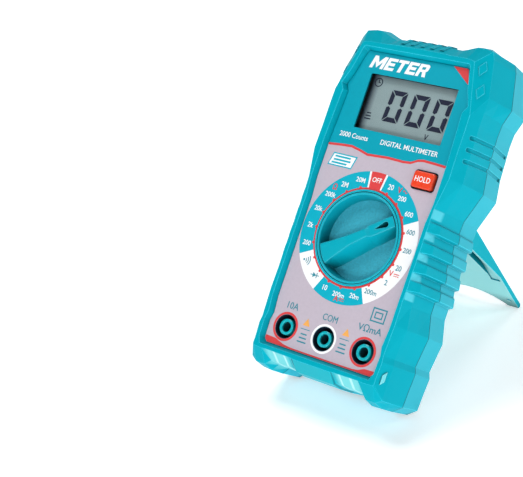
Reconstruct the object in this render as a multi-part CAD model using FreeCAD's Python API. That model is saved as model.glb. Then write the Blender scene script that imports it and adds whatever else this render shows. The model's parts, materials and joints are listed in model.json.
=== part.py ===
import FreeCAD, Part
import math
import os
from FreeCAD import Placement, Rotation, Vector

# A handheld digital multimeter that leans on its own tilt stand.
# Everything is modelled in the meter's own frame, in millimetres: x across the face,
# y along the meter from the jacks to the display, z out of the face, with z = 0 on the
# printed panel and y = 0 near the panel's lower edge. stand_up() then leans the whole
# meter back until its lower back edge and the feet of its stand are on the ground.

# --- driving dimensions: case ---
RIM_Z = 2.4            # top of the rim round the panel
FRONT_Z = -3.0         # lower edge of the front chamfer
SHOULDER_Z = -9.0      # level where the end bumpers are longest
PARTING_Z = -17.0      # where the two shells meet
BACK_EDGE_Z = -29.5    # start of the back chamfer
BACK_Z = -35.0         # back face
BACK_DRAFT = 0.6       # how much narrower the case is at the back chamfer
BACK_CHAMFER = 3.4
WALL = 2.0
DECK_Z = -0.4          # top of the deck under the printed panel
DECK_LOW_Z = -2.4

# --- driving dimensions: controls ---
JACK_PITCH = 19.0
JACK_Y = 8.9
JACK_BORE_R = 2.0
JACK_WALL_R = 2.6
JACK_TOP_Z = -1.6
JACK_LOW_Z = -21.6
POST_R = 3.25
WELL_R = 4.9
DIAL_Y = 50.5
KNOB_R = 18.45
KNOB_TOP_Z = 0.7
KNOB_FLOOR_Z = -5.0
KNOB_LOW_Z = -6.6
COLLAR_IN_R = 18.7
COLLAR_OUT_R = 19.5
SLOT_U = 13.3          # the pointer slot's round end, from the knob's centre
SLOT_R = 1.2
SLOT_LOW_Z = -3.0
POINTER_DEG = 54.0     # clockwise from the OFF mark
POSITIONS = 20
DETENT_R = 21.9        # where the detent balls click home
DETENT_BALL_R = 1.0
DETENT_Z = -3.95
HOLD_X = 20.8
HOLD_Y = 78.4
HOLD_W = 9.5
HOLD_H = 6.6
HOLD_TOP_Z = 1.6
LCD_X = 1.6
LCD_Y = 104.5
LCD_W = 41.4
LCD_H = 22.9

# --- driving dimensions: inside ---
PCB_TOP_Z = -11.0
PCB_LOW_Z = -12.6
HUB_R = 3.0
RUNNING = 0.05         # radial clearance of a running fit
BATTERY_W = 46.0
BATTERY_H = 26.5
BATTERY_D = 17.5
BATTERY_X0 = -27.5
BATTERY_Y = 106.3
BATTERY_TOP_Z = -15.5
DOOR_Z = -33.2
DOOR_X = 29.0
BAY_X = 28.0
BAY_HALF_Y = 14.4
DOOR_SCREW_Y = 125.2
BOSS_WALL = 1.2        # wall of the jack wells and of the battery bay
CASE_SCREW_R = 1.2
CASE_SCREW_HEAD_R = 2.5
CASE_SCREW_HEAD_Z = -31.4
PCB_SCREW_R = 0.9
PCB_SCREW_HEAD_R = 2.0
DOOR_SCREW_R = 1.0
DOOR_SCREW_HEAD_R = 2.3
LCD_GLASS_HALF_W = 23.6
LCD_GLASS_TOP_Z = -2.6
LCD_GLASS_STEP_Z = -3.8
LCD_GLASS_LOW_Z = -5.0
FUSE_Y = 33.0
FUSE_Z = -16.4
FUSE_X0 = -4.3
FUSE_LENGTH = 20.6
FUSE_GLASS_R = 2.3
FUSE_CAP_R = 2.6
FUSE_CAP_LENGTH = 5.6
SHUNT_X0 = -14.0
SHUNT_X1 = -4.5
SHUNT_Y = 17.5
SHUNT_Z = -17.0
SHUNT_R = 0.8
IC_Y = 79.0
IC_HALF = 7.0
IC_PITCH = 1.1
IC_PINS = 11
RESISTOR_COUNT = 5
RESISTOR_PITCH = 3.4
RESISTOR_R = 1.1
WIPER_HALF_W = 3.2
LEAD_R = 0.7

# --- driving dimensions: tilt stand ---
HINGE_Y = 73.3
HINGE_Z = -32.0
KNUCKLE_R = 3.0
OPEN_DEG = 70.9        # angle between the back and the open stand
STAND_LEN = 75.0
STAND_HALF_W = 22.0
FLANGE = 1.3
BOX_HALF_W = 16.0
WEDGE_S = 16.0         # where the stand is deepest
WEDGE_H = 7.4
TIP_S = 49.0           # where the wedge has run out
TIP_H = 2.0
ARCH_TOP_S = 66.5
ARCH_HALF_W = 17.0
TRUNNION_R = 1.5
TRUNNION_END = 24.0
STAND_GAP = 0.5

# Side outline, from the jacks to the display: y, then the half width at the rim's edge,
# at the foot of the front chamfer and at the parting line, and how much lower the rim's
# own corner is.
LOWER_SIDE = [(-6.2, 29.9, 32.1, 33.3, -5.0), (1.0, 29.8, 32.2, 33.6, 0), (7.5, 30.2, 32.3, 34.0, 0),
              (10.0, 29.8, 31.6, 33.0, 0), (22.0, 30.3, 32.8, 34.6, 0), (31.0, 30.1, 31.3, 32.2, 0)]
UPPER_SIDE = [(69.0, 30.4, 32.0, 33.0, 0), (81.0, 32.4, 35.6, 37.3, 0), (90.0, 32.2, 35.0, 35.9, 0),
              (104.0, 32.2, 34.5, 35.2, 2.0), (109.5, 32.1, 34.5, 35.5, 3.0),
              (115.5, 31.5, 34.6, 37.5, 6.8), (130.6, 26.9, 31.2, 34.0, 5.0), (133.7, 26.6, 29.8, 32.4, 6.6)]
# Ends, from the middle outwards: x, then the end's y at the rim, at the foot of the front
# chamfer, and at the shoulder.
LOWER_END = [(0.0, -2.4, -6.6, -7.5), (9.0, -2.4, -6.6, -7.5), (10.5, -2.2, -5.6, -6.4),
             (22.5, -2.0, -5.6, -6.4), (25.0, -2.2, -7.8, -9.4), (29.5, -2.0, -7.8, -9.1)]
UPPER_END = [(25.4, 127.6, 134.5, 136.1), (22.8, 128.0, 134.4, 136.0), (18.0, 128.0, 132.6, 134.2),
             (14.6, 128.0, 131.6, 133.2), (12.6, 128.2, 132.2, 133.7), (0.0, 128.4, 132.4, 133.9)]
CORNER_LOW_Y = -5.0    # side points beyond these belong to a corner and draw in from both sides
CORNER_HIGH_Y = 130.0
# Grip ribs: the y of each one's step up, and how far on from it the crest is, the small step
# down behind the ridge and where that ends; then the outline at each of these.
RIB_STEPS = [36.0, 43.4, 51.2, 59.2]
CREST = 0.8
RIDGE_END = 4.2
FALL_END = 4.7
RIB_LOW = (30.2, 31.0, 32.2, 0)
RIB_HIGH = (30.3, 32.8, 34.0, 0)
RIB_BACK = (30.3, 32.4, 33.4, 0)
RIB_REST = (30.2, 31.6, 32.7, 0)
# Grip grooves: y, then the half width of the skin above the front edge, at it and at the
# parting line.
GRIP_GROOVES = [(89.6, 34.2, 35.2, 36.1), (94.2, 33.9, 35.0, 35.8), (98.9, 33.7, 34.8, 35.6)]
GROOVE_R = 0.85
PAD_RISE = 0.55        # how far the small slanted pads stand out of the chamfers
PAD_SLOPE = 48.0
PAD_TURN = 15.5


# --- small builders ---
def slab(x0, x1, y0, y1, z0, z1):
    return Part.makeBox(x1 - x0, y1 - y0, z1 - z0, Vector(x0, y0, z0))


def rod(x, y, radius, z0, z1):
    return Part.makeCylinder(radius, z1 - z0, Vector(x, y, z0))


def tube(x, y, outer, inner, z0, z1):
    return rod(x, y, outer, z0, z1).cut(rod(x, y, inner, z0 - 1, z1 + 1))


def cross_rod(y, z, radius, x0, x1):
    return Part.makeCylinder(radius, x1 - x0, Vector(x0, y, z), Vector(1, 0, 0))


def plate(points, z0, z1):
    corners = [Vector(x, y, z0) for x, y in points]
    face = Part.Face(Part.makePolygon(corners + corners[:1]))
    return face.extrude(Vector(0, 0, z1 - z0))


def side_plate(points, x0, x1):
    corners = [Vector(x0, y, z) for y, z in points]
    face = Part.Face(Part.makePolygon(corners + corners[:1]))
    return face.extrude(Vector(x1 - x0, 0, 0))


def soft_slab(x, y, width, height, radius, z0, z1):
    block = slab(x - width / 2, x + width / 2, y - height / 2, y + height / 2, z0, z1)
    uprights = [edge for edge in block.Edges if abs(edge.BoundBox.ZLength - (z1 - z0)) < 1e-6]
    return block.makeFillet(radius, uprights)


def mirrored(points):
    return points + [(-x, y) for x, y in reversed(points) if x > 0]


def both_sides(shape):
    return [shape, shape.mirror(Vector(0, 0, 0), Vector(1, 0, 0))]


def join(first, others):
    return first.fuse(others).removeSplitter()


def group(shapes):
    return Part.makeCompound(shapes)


def skinned(loops):
    """A closed solid through loops of points that all have the same number of points."""
    faces = [Part.Face(Part.makePolygon(loop + loop[:1])) for loop in (loops[0], loops[-1])]
    for lower, upper in zip(loops, loops[1:]):
        for i in range(len(lower)):
            j = (i + 1) % len(lower)
            ring = [lower[i], lower[j], upper[j], upper[i]]
            normal = (ring[1] - ring[0]).cross(ring[2] - ring[0])
            if abs(normal.dot(ring[3] - ring[0])) < 1e-7:
                faces.append(Part.Face(Part.makePolygon(ring + ring[:1])))
                continue
            for corner in (ring[:3], [ring[0], ring[2], ring[3]]):
                faces.append(Part.Face(Part.makePolygon(corner + corner[:1])))
    skin = Part.makeCompound(faces)
    skin.sewShape()
    solid = Part.makeSolid(skin.Shells[0])
    if solid.Volume < 0:
        solid.reverse()
    return solid


# --- the outer form of the case ---
def side_rows():
    ribs = []
    for step in RIB_STEPS:
        ribs.append((step,) + RIB_LOW)
        ribs.append((step + CREST,) + RIB_HIGH)
        ribs.append((step + RIDGE_END,) + RIB_BACK)
        ribs.append((step + FALL_END,) + RIB_REST)
    return LOWER_SIDE + ribs + UPPER_SIDE


def outline(z):
    """The closed outline of the case at one of its levels."""
    at_front = z <= FRONT_Z
    drop = (FRONT_Z - z) / (FRONT_Z - PARTING_Z)
    inset = 0.0
    if z <= BACK_EDGE_Z:
        inset = BACK_DRAFT
    if z <= BACK_Z:
        inset = BACK_DRAFT + BACK_CHAMFER

    def side_point(row):
        if not at_front:
            return (row[1], row[0] - row[4])
        y = row[0]
        if not CORNER_LOW_Y < y < CORNER_HIGH_Y:
            y += math.copysign(inset, DIAL_Y - y)
        return (row[2] + (row[3] - row[2]) * min(drop, 1.0) - inset, y)

    def end_point(row, sign):
        if not at_front:
            return (row[0], row[1])
        if z == FRONT_Z:
            return (row[0], row[2])
        x = row[0]
        if row in (LOWER_END[-1], UPPER_END[0]):
            x -= inset
        return (x, row[3] - sign * inset)

    half = [end_point(row, -1) for row in LOWER_END]
    half += [side_point(row) for row in side_rows()]
    half += [end_point(row, 1) for row in UPPER_END]
    return [Vector(x, y, z) for x, y in mirrored(half)]


def case_form():
    levels = [RIM_Z, FRONT_Z, SHOULDER_Z, PARTING_Z, BACK_EDGE_Z, BACK_Z]
    return skinned([outline(z) for z in levels])


def cavity():
    """The hollow inside both shells."""
    inner = [(26.0, -4.2), (29.0, -1.0), (29.4, 26.0), (28.5, 32.0), (28.5, 68.0), (32.4, 80.0),
             (31.9, 104.0), (31.9, 116.0), (29.0, 127.5), (25.0, 130.2)]
    narrow = [(24.0, -2.6), (26.6, 0.0), (26.6, 68.0), (30.0, 80.0), (30.0, 120.0), (29.0, 127.0), (24.6, 128.6)]
    return plate(mirrored(inner), BACK_EDGE_Z, DECK_LOW_Z).fuse(
        plate(mirrored(narrow), BACK_Z + WALL, BACK_EDGE_Z))


def panel_points(grow=0.0):
    half = [(25.6, 0.8), (26.9, 2.2), (27.2, 9.6), (26.5, 13.0), (27.2, 20.0), (27.3, 62.0), (28.1, 70.0),
            (28.1, 86.0), (27.4, 101.6), (27.1, 106.8), (28.8, 109.6), (26.6, 115.0), (25.3, 120.0),
            (24.0, 124.2), (23.2, 124.8)]

    def grown_y(y):
        if y < 1.0:
            return y - grow
        if y > 123.0:
            return y + grow
        return y

    return mirrored([(x + grow, grown_y(y)) for x, y in half])


def panel_recess():
    low = [Vector(x, y, DECK_Z) for x, y in panel_points()]
    high = [Vector(x, y, RIM_Z + 0.1) for x, y in panel_points(1.3)]
    return skinned([low, high])


def grip_grooves():
    """Three shallow grooves on each side, beside the display, that cross both shells."""
    grooves = []
    for y, x_rim, x_edge, x_wide in GRIP_GROOVES:
        points = [Vector(x_rim, y - 0.2, -1.2), Vector(x_edge, y, FRONT_Z), Vector(x_wide, y + 1.0, PARTING_Z),
                  Vector(x_wide - BACK_DRAFT, y + 0.2, BACK_EDGE_Z + 1.0)]
        for start, end in zip(points, points[1:]):
            run = end - start
            grooves += both_sides(Part.makeCylinder(GROOVE_R, run.Length, start, run))
            grooves += both_sides(Part.makeSphere(GROOVE_R, start))
    return grooves


def bumper_pads():
    """Small raised slanted pads on the chamfers at the case's corners."""
    pads = []
    slope = Rotation(Vector(0, 0, 1), PAD_TURN).multiply(Rotation(Vector(0, 1, 0), PAD_SLOPE))
    for x, y, z in ((31.5, 116.6, -0.15), (29.3, 125.6, -0.2)):
        pad = plate([(-1.2, -3.1), (1.75, -0.4), (1.2, 3.1), (-1.75, 0.4)], -1.0, PAD_RISE)
        pad.Placement = Placement(Vector(x, y, z), slope)
        pads += both_sides(pad)
    low_pad = plate([(-0.8, 0.0), (0.8, 1.6), (0.8, 5.4), (-0.8, 3.8)], -0.8, PAD_RISE)
    low_pad.Placement = Placement(Vector(31.0, -0.8, -0.4), Rotation(Vector(0, 1, 0), 62))
    return pads + both_sides(low_pad)


def vent_ridges():
    """Slanted ridges on the middle of the top end."""
    ridges = []
    for i in range(5):
        x = -9.6 + 4.6 * i
        ridge = side_plate([(129.7, 1.2), (133.2, -4.0), (134.0, -8.0), (130.0, -8.0)], x, x + 1.8)
        ridges.append(ridge)
    return ridges


def case_screw_places():
    return [(-26.4, 2.6), (26.4, 2.6), (-27.6, 125.0), (27.6, 125.0)]


def pcb_screw_places():
    return [(-24.6, 24.5), (24.6, 24.5), (-29.6, 83.6), (29.6, 83.6)]


def jack_places():
    return [-JACK_PITCH, 0.0, JACK_PITCH]


# --- case pieces ---
def front_shell():
    outer = join(case_form(), bumper_pads() + vent_ridges())
    keep = slab(-60, 60, -60, 200, PARTING_Z, 60)
    outer = outer.common(keep)
    shell = outer.cut([cavity(), panel_recess()] + grip_grooves())
    added = [tube(0, DIAL_Y, COLLAR_OUT_R, COLLAR_IN_R, DECK_LOW_Z, 0.5)]
    added.append(tube(0, DIAL_Y, DETENT_R + 2.4, DETENT_R + 0.9, -5.6, DECK_LOW_Z))
    added += [tube(x, JACK_Y, WELL_R + BOSS_WALL, WELL_R, -9.5, DECK_LOW_Z) for x in jack_places()]
    added += [rod(x, y, 2.8, PARTING_Z, DECK_LOW_Z) for x, y in case_screw_places()]
    added += [rod(x, y, 2.2, PCB_TOP_Z, DECK_LOW_Z) for x, y in pcb_screw_places()]
    shell = shell.fuse(added)
    removed = [rod(0, DIAL_Y, COLLAR_IN_R, DECK_LOW_Z - 1, 1)]
    removed.append(soft_slab(LCD_X, LCD_Y, LCD_W + 2, LCD_H + 2, 0.6, DECK_LOW_Z - 1, 0))
    removed.append(soft_slab(HOLD_X, HOLD_Y, HOLD_W + 1.3, HOLD_H + 1.2, 1.4, DECK_LOW_Z - 1, 0))
    removed += [rod(x, JACK_Y, WELL_R, -12, 1) for x in jack_places()]
    removed += [rod(x, y, CASE_SCREW_R + RUNNING, PARTING_Z - 1, -8.0) for x, y in case_screw_places()]
    removed += [rod(x, y, PCB_SCREW_R + RUNNING, PCB_TOP_Z - 1, -4.5) for x, y in pcb_screw_places()]
    for i in range(POSITIONS):
        angle = 2 * math.pi * i / POSITIONS + math.radians(90 - POINTER_DEG)
        x = (DETENT_R + 0.3) * math.cos(angle)
        y = DIAL_Y + (DETENT_R + 0.3) * math.sin(angle)
        removed.append(rod(x, y, 1.35, -5.7, DECK_LOW_Z))
    return shell.cut(removed).removeSplitter()


def stop_y(z, gap):
    """Where the outer skin of the open stand is at this height, a gap further out."""
    turn = math.radians(OPEN_DEG)
    return HINGE_Y + (KNUCKLE_R + gap + (z - HINGE_Z) * math.cos(turn)) / math.sin(turn)


def stand_profile(extra, gap):
    """The closed stand in (y, z), with some room round it and the open stand's stop above it."""
    return [(stop_y(BACK_Z - 1, gap), BACK_Z - 1), (stop_y(HINGE_Z, gap), HINGE_Z),
            (stop_y(HINGE_Z, gap), HINGE_Z + 4 + extra),
            (HINGE_Y - WEDGE_S + 4, BACK_Z + WEDGE_H + extra), (HINGE_Y - WEDGE_S, BACK_Z + WEDGE_H + extra),
            (HINGE_Y - TIP_S, BACK_Z + TIP_H + extra), (HINGE_Y - STAND_LEN - extra, BACK_Z + TIP_H + extra),
            (HINGE_Y - STAND_LEN - extra, BACK_Z - 1)]


def stand_recess():
    reach = STAND_HALF_W + STAND_GAP
    return side_plate(stand_profile(STAND_GAP, RUNNING), -reach, reach).fuse(
        cross_rod(HINGE_Y, HINGE_Z, KNUCKLE_R + 0.1, -reach, reach))


def battery_bay():
    top = BATTERY_Y + BAY_HALF_Y
    low = BATTERY_Y - BAY_HALF_Y
    ring = slab(-BAY_X - BOSS_WALL, BAY_X + BOSS_WALL, low - BOSS_WALL, top + BOSS_WALL, DOOR_Z, -22.0)
    return ring.cut(slab(-BAY_X, BAY_X, low, top, DOOR_Z - 1, -21.0))


def door_tongue(grow=0.0):
    low = BATTERY_Y - BAY_HALF_Y
    return both_sides(slab(12 - grow, 18 + grow, low - 3.0 - grow, low + 1.0, DOOR_Z - grow / 2,
                           DOOR_Z + 1.2 + grow))


def door_outline(grow=0.0):
    low = BATTERY_Y - BAY_HALF_Y - BOSS_WALL - grow
    top = BATTERY_Y + BAY_HALF_Y + BOSS_WALL + grow
    tab = 4.6 + grow
    return mirrored([(DOOR_X + grow, low), (DOOR_X + grow, top), (tab + 1.6, top), (tab, top + 1.6),
                     (tab, DOOR_SCREW_Y + 3.4 + grow)])


def rear_shell():
    outer = case_form().common(slab(-60, 60, -60, 200, -60, PARTING_Z))
    shell = outer.cut([cavity()] + grip_grooves())
    reach = STAND_HALF_W + STAND_GAP + 1.6
    well = side_plate(stand_profile(STAND_GAP + 1.6, 1.6), -reach, reach)
    added = [well, battery_bay(), rod(0, DOOR_SCREW_Y, 3.2, BACK_Z + 0.5, -24.0)]
    added += [rod(x, y, 3.5, BACK_Z + 2.5, PARTING_Z) for x, y in case_screw_places()]
    shell = shell.fuse([piece.common(outer) for piece in added])
    removed = [stand_recess(), plate(door_outline(0.15), BACK_Z - 1, DOOR_Z)] + door_tongue(0.15)
    removed.append(rod(0, DOOR_SCREW_Y, DOOR_SCREW_R + RUNNING, BACK_Z - 1, -26.0))
    removed.append(cross_rod(HINGE_Y, HINGE_Z, TRUNNION_R + RUNNING, -TRUNNION_END - 0.3,
                             TRUNNION_END + 0.3))
    bay_low = BATTERY_Y - BAY_HALF_Y
    removed.append(slab(-BAY_X, BAY_X, bay_low, BATTERY_Y + BAY_HALF_Y, BACK_Z - 1, -21.0))
    for x, y in case_screw_places():
        removed.append(rod(x, y, 1.6, BACK_Z - 1, PARTING_Z + 1))
        removed.append(rod(x, y, CASE_SCREW_HEAD_R + 0.2, BACK_Z - 1, CASE_SCREW_HEAD_Z + 2.4))
    shell = shell.cut(removed).removeSplitter()
    return max(shell.Solids, key=lambda solid: solid.Volume)


def battery_door():
    low = BATTERY_Y - BAY_HALF_Y
    door = plate(door_outline(), BACK_Z, DOOR_Z)
    door = join(door, door_tongue())
    door = door.cut([rod(0, DOOR_SCREW_Y, DOOR_SCREW_R + 0.3, BACK_Z - 1, DOOR_Z + 1),
                     rod(0, DOOR_SCREW_Y, DOOR_SCREW_HEAD_R + 0.2, BACK_Z - 1, BACK_Z + 1.0)])
    slots = [slab(-9, 9, low + 3 + 2.2 * i, low + 4.1 + 2.2 * i, BACK_Z - 1, BACK_Z + 0.6)
             for i in range(4)]
    return door.cut(slots)


def front_panel():
    sheet = plate(panel_points(), DECK_Z, 0.0)
    holes = [rod(x, JACK_Y, WELL_R, -2, 2) for x in jack_places()]
    holes.append(rod(0, DIAL_Y, COLLAR_OUT_R + 0.05, -2, 2))
    holes.append(soft_slab(LCD_X, LCD_Y, LCD_W, LCD_H, 0.4, -2, 2))
    holes.append(soft_slab(HOLD_X, HOLD_Y, HOLD_W + 1.3, HOLD_H + 1.2, 1.4, -2, 2))
    return sheet.cut(holes)


# --- controls ---
def knob_bar():
    """The grip bar: a tent shaped ridge, wide at its tail and narrow at its pointer."""
    rows = [(-18.6, 4.8, 5.8, 0.2), (-12.0, 3.3, 6.2, 1.0), (-4.0, 2.0, 5.6, 1.7), (4.6, 1.6, 4.8, 1.7),
            (6.2, 2.3, 4.9, 1.1), (18.6, 2.3, 4.2, 0.3)]
    loops = []
    for u, top, base, z in rows:
        loops.append([Vector(-base, u, KNOB_FLOOR_Z - 0.5), Vector(base, u, KNOB_FLOOR_Z - 0.5),
                      Vector(top, u, z), Vector(-top, u, z)])
    bar = skinned(loops)
    point = plate([(-SLOT_R, SLOT_U), (0, SLOT_U - 5.0), (SLOT_R, SLOT_U)], SLOT_LOW_Z, 3)
    slot = join(rod(0, SLOT_U, SLOT_R, SLOT_LOW_Z, 3), [point])
    return bar.cut(slot)


def selector_knob():
    flange_r = 20.4
    profile = [(0, KNOB_LOW_Z), (18.2, KNOB_LOW_Z), (18.2, -5.3), (flange_r, -5.3), (flange_r, -2.6),
               (KNOB_R, -2.6), (KNOB_R, KNOB_TOP_Z - 0.3), (KNOB_R - 0.3, KNOB_TOP_Z), (17.7, KNOB_TOP_Z),
               (17.4, KNOB_TOP_Z - 0.3), (16.5, KNOB_FLOOR_Z), (0, KNOB_FLOOR_Z)]
    corners = [Vector(r, 0, z) for r, z in profile]
    face = Part.Face(Part.makePolygon(corners + corners[:1]))
    knob = face.revolve(Vector(0, 0, 0), Vector(0, 0, 1), 360)
    bar = knob_bar().common(rod(0, 0, 17.0, -8, 8))
    hub = rod(0, 0, HUB_R, PCB_LOW_Z - 1.2, KNOB_LOW_Z)
    hub = hub.fuse(rod(0, 0, 6.0, -9.4, KNOB_LOW_Z))
    knob = join(knob, [bar, hub])
    for sign in (1, -1):
        hole = Part.makeCylinder(DETENT_BALL_R + RUNNING, 4.0, Vector(0, sign * 17.2, DETENT_Z),
                                 Vector(0, sign, 0))
        knob = knob.cut(hole)
    return turned(knob)


def turned(shape):
    """Turns something that was built pointing along +y to the selected position."""
    shape = shape.copy()
    shape.rotate(Vector(0, 0, 0), Vector(0, 0, 1), -POINTER_DEG)
    shape.translate(Vector(0, DIAL_Y, 0))
    return shape


def detent_balls():
    return turned(group([Part.makeSphere(DETENT_BALL_R, Vector(0, sign * (DETENT_R - 0.2), DETENT_Z))
                         for sign in (1, -1)]))


def detent_springs():
    coils = []
    for sign in (1, -1):
        path = Part.makeHelix(0.7, 3.1, 0.75)
        start = Vector(0.75, 0, 0)
        ring = Part.Wire([Part.makeCircle(0.15, start, Vector(0, 1, 0.15))])
        coil = Part.Wire(path.Edges).makePipeShell([ring], True, True)
        coil.rotate(Vector(0, 0, 0), Vector(1, 0, 0), -90 * sign)
        coil.translate(Vector(0, sign * 17.4, DETENT_Z))
        coils.append(coil)
    return turned(group(coils))


def wiper_contacts():
    """Three sprung bronze bridges under the knob that ride on the board's contact rings."""
    wipers = []
    for radius, angle in ((9.0, 20), (12.5, 140), (16.0, 260)):
        strip = [(-WIPER_HALF_W, KNOB_LOW_Z), (WIPER_HALF_W, KNOB_LOW_Z), (WIPER_HALF_W, -7.0),
                 (1.4, -7.0), (0.9, -10.95), (-0.9, -10.95), (-1.4, -7.0), (-WIPER_HALF_W, -7.0)]
        corners = [Vector(x, -1.0, z) for x, z in strip]
        face = Part.Face(Part.makePolygon(corners + corners[:1]))
        wiper = face.extrude(Vector(0, 2.0, 0))
        inside = [(-0.9, -7.0), (0.9, -7.0), (0.55, -10.6), (-0.55, -10.6)]
        corners = [Vector(x, -2.0, z) for x, z in inside]
        wiper = wiper.cut(Part.Face(Part.makePolygon(corners + corners[:1])).extrude(Vector(0, 4, 0)))
        wiper.translate(Vector(0, radius, 0))
        wiper.rotate(Vector(0, 0, 0), Vector(0, 0, 1), angle)
        wipers.append(wiper)
    return turned(group(wipers))


def hold_button():
    cap = soft_slab(HOLD_X, HOLD_Y, HOLD_W, HOLD_H, 1.1, DECK_LOW_Z, HOLD_TOP_Z)
    top_edges = [edge for edge in cap.Edges if edge.BoundBox.ZMin > HOLD_TOP_Z - 0.01]
    cap = cap.makeFillet(0.6, top_edges)
    flange = soft_slab(HOLD_X, HOLD_Y, HOLD_W + 2.9, HOLD_H + 2.8, 1.6, DECK_LOW_Z - 1.2, DECK_LOW_Z)
    stem = slab(HOLD_X - 2, HOLD_X + 2, HOLD_Y - 2, HOLD_Y + 2, -6.0, DECK_LOW_Z - 1.2)
    return join(cap, [flange, stem])


def hold_switch_body():
    body = slab(HOLD_X - 3, HOLD_X + 3, HOLD_Y - 3, HOLD_Y + 3, PCB_TOP_Z, -7.2)
    return body.cut(rod(HOLD_X, HOLD_Y, 1.8, -9.5, -7.0))


def hold_switch_plunger():
    return rod(HOLD_X, HOLD_Y, 1.7, -8.3, -6.0)


# --- display ---
def lcd_window():
    return soft_slab(LCD_X, LCD_Y, LCD_W + 1.9, LCD_H + 1.9, 0.55, DECK_LOW_Z, DECK_Z)


def lcd_glass():
    x0 = LCD_X - LCD_GLASS_HALF_W
    x1 = LCD_X + LCD_GLASS_HALF_W
    front = slab(x0, x1, LCD_Y - 14.6, LCD_Y + 14.6, LCD_GLASS_STEP_Z, LCD_GLASS_TOP_Z)
    back = slab(x0, x1, LCD_Y - 16.0, LCD_Y + 16.0, LCD_GLASS_LOW_Z, LCD_GLASS_STEP_Z)
    return join(front, [back])


def lcd_bezel():
    body = slab(LCD_X - 25.4, LCD_X + 25.4, LCD_Y - 17.6, LCD_Y + 17.6, PCB_TOP_Z, -2.5)
    reach = LCD_GLASS_HALF_W + 0.1
    pocket = slab(LCD_X - reach, LCD_X + reach, LCD_Y - 16.1, LCD_Y + 16.1, LCD_GLASS_LOW_Z, 0)
    hollow = slab(LCD_X - 22.6, LCD_X + 22.6, LCD_Y - 15.9, LCD_Y + 15.9, -12, LCD_GLASS_LOW_Z)
    return body.cut([pocket, hollow])


def zebra_strips():
    return group([slab(LCD_X - 21.5, LCD_X + 21.5, LCD_Y + side * 14.4 - 1.1, LCD_Y + side * 14.4 + 1.1,
                       PCB_TOP_Z, LCD_GLASS_LOW_Z) for side in (1, -1)])


# --- board and what it carries ---
def main_pcb():
    outline_points = mirrored([(21.8, 2.4), (21.8, 7.0), (27.2, 7.0), (27.2, 68.0), (31.2, 79.0),
                               (31.2, 113.0), (28.9, 120.5), (23.0, 121.5), (23.0, 128.0)])
    board = plate(outline_points, PCB_LOW_Z, PCB_TOP_Z)
    holes = [rod(0, DIAL_Y, HUB_R + RUNNING, -20, 0)]
    holes += [rod(x, JACK_Y, JACK_WALL_R + 0.05, -20, 0) for x in jack_places()]
    holes += [rod(x, y, 1.1, -20, 0) for x, y in pcb_screw_places()]
    return board.cut(holes)


def jack_socket(x):
    low_end = rod(x, JACK_Y, JACK_WALL_R, JACK_LOW_Z, JACK_LOW_Z + 1.0)
    return join(tube(x, JACK_Y, JACK_WALL_R, JACK_BORE_R, JACK_LOW_Z + 0.9, JACK_TOP_Z), [low_end])


def jack_block():
    """One moulded insulator: a base on the board with a post round each socket."""
    base = slab(-26.0, 26.0, JACK_Y - 6.2, JACK_Y + 6.2, PCB_TOP_Z, -9.5)
    block = join(base, [rod(x, JACK_Y, POST_R, -9.6, -0.9) for x in jack_places()])
    holes = [rod(x, JACK_Y, JACK_WALL_R + 0.05, -20, 1) for x in jack_places()]
    holes += [rod(x, y, 3.0, -20, 1) for x, y in case_screw_places()[:2]]
    return block.cut(holes)


def fuse_glass():
    return cross_rod(FUSE_Y, FUSE_Z, FUSE_GLASS_R, FUSE_X0 + 0.3, FUSE_X0 + FUSE_LENGTH - 0.3)


def fuse_caps():
    cap = cross_rod(FUSE_Y, FUSE_Z, FUSE_CAP_R, FUSE_X0, FUSE_X0 + FUSE_CAP_LENGTH)
    far = cap.copy()
    far.translate(Vector(FUSE_LENGTH - FUSE_CAP_LENGTH, 0, 0))
    return group([cap.cut(fuse_glass()), far.cut(fuse_glass())])


def fuse_clips():
    clips = []
    bore = FUSE_CAP_R + RUNNING
    for x in (FUSE_X0 + 0.7, FUSE_X0 + FUSE_LENGTH - FUSE_CAP_LENGTH + 0.7):
        block = slab(x, x + 4.2, FUSE_Y - 3.5, FUSE_Y + 3.5, -18.6, PCB_LOW_Z)
        clips.append(block.cut([cross_rod(FUSE_Y, FUSE_Z, bore, x - 1, x + 6),
                                slab(x - 1, x + 6, FUSE_Y - bore, FUSE_Y + bore, FUSE_Z, PCB_LOW_Z - 0.6),
                                slab(x - 1, x + 6, FUSE_Y - 1.6, FUSE_Y + 1.6, -20, -16)]))
    return group(clips)


def shunt_wire():
    ends = (SHUNT_X0, SHUNT_X1)
    legs = [rod(x, SHUNT_Y, SHUNT_R, SHUNT_Z, PCB_LOW_Z) for x in ends]
    bridge = cross_rod(SHUNT_Y, SHUNT_Z, SHUNT_R, SHUNT_X0, SHUNT_X1)
    corners = [Part.makeSphere(SHUNT_R, Vector(x, SHUNT_Y, SHUNT_Z)) for x in ends]
    return join(bridge, legs + corners)


def main_ic():
    body = slab(-IC_HALF, IC_HALF, IC_Y - IC_HALF, IC_Y + IC_HALF, PCB_LOW_Z - 2.4, PCB_LOW_Z - 0.3)
    pins = []
    for i in range(IC_PINS):
        offset = (i - (IC_PINS - 1) / 2) * IC_PITCH
        for side in (1, -1):
            near = side * (IC_HALF + 0.8) - 1.0
            far = near + 2.0
            pins.append(slab(offset - 0.2, offset + 0.2, IC_Y + near, IC_Y + far, PCB_LOW_Z - 0.7, PCB_LOW_Z))
            pins.append(slab(near, far, IC_Y + offset - 0.2, IC_Y + offset + 0.2, PCB_LOW_Z - 0.7, PCB_LOW_Z))
    return join(body, pins)


def capacitor():
    return rod(-20.5, 68.5, 2.5, PCB_LOW_Z - 7.0, PCB_LOW_Z)


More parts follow.
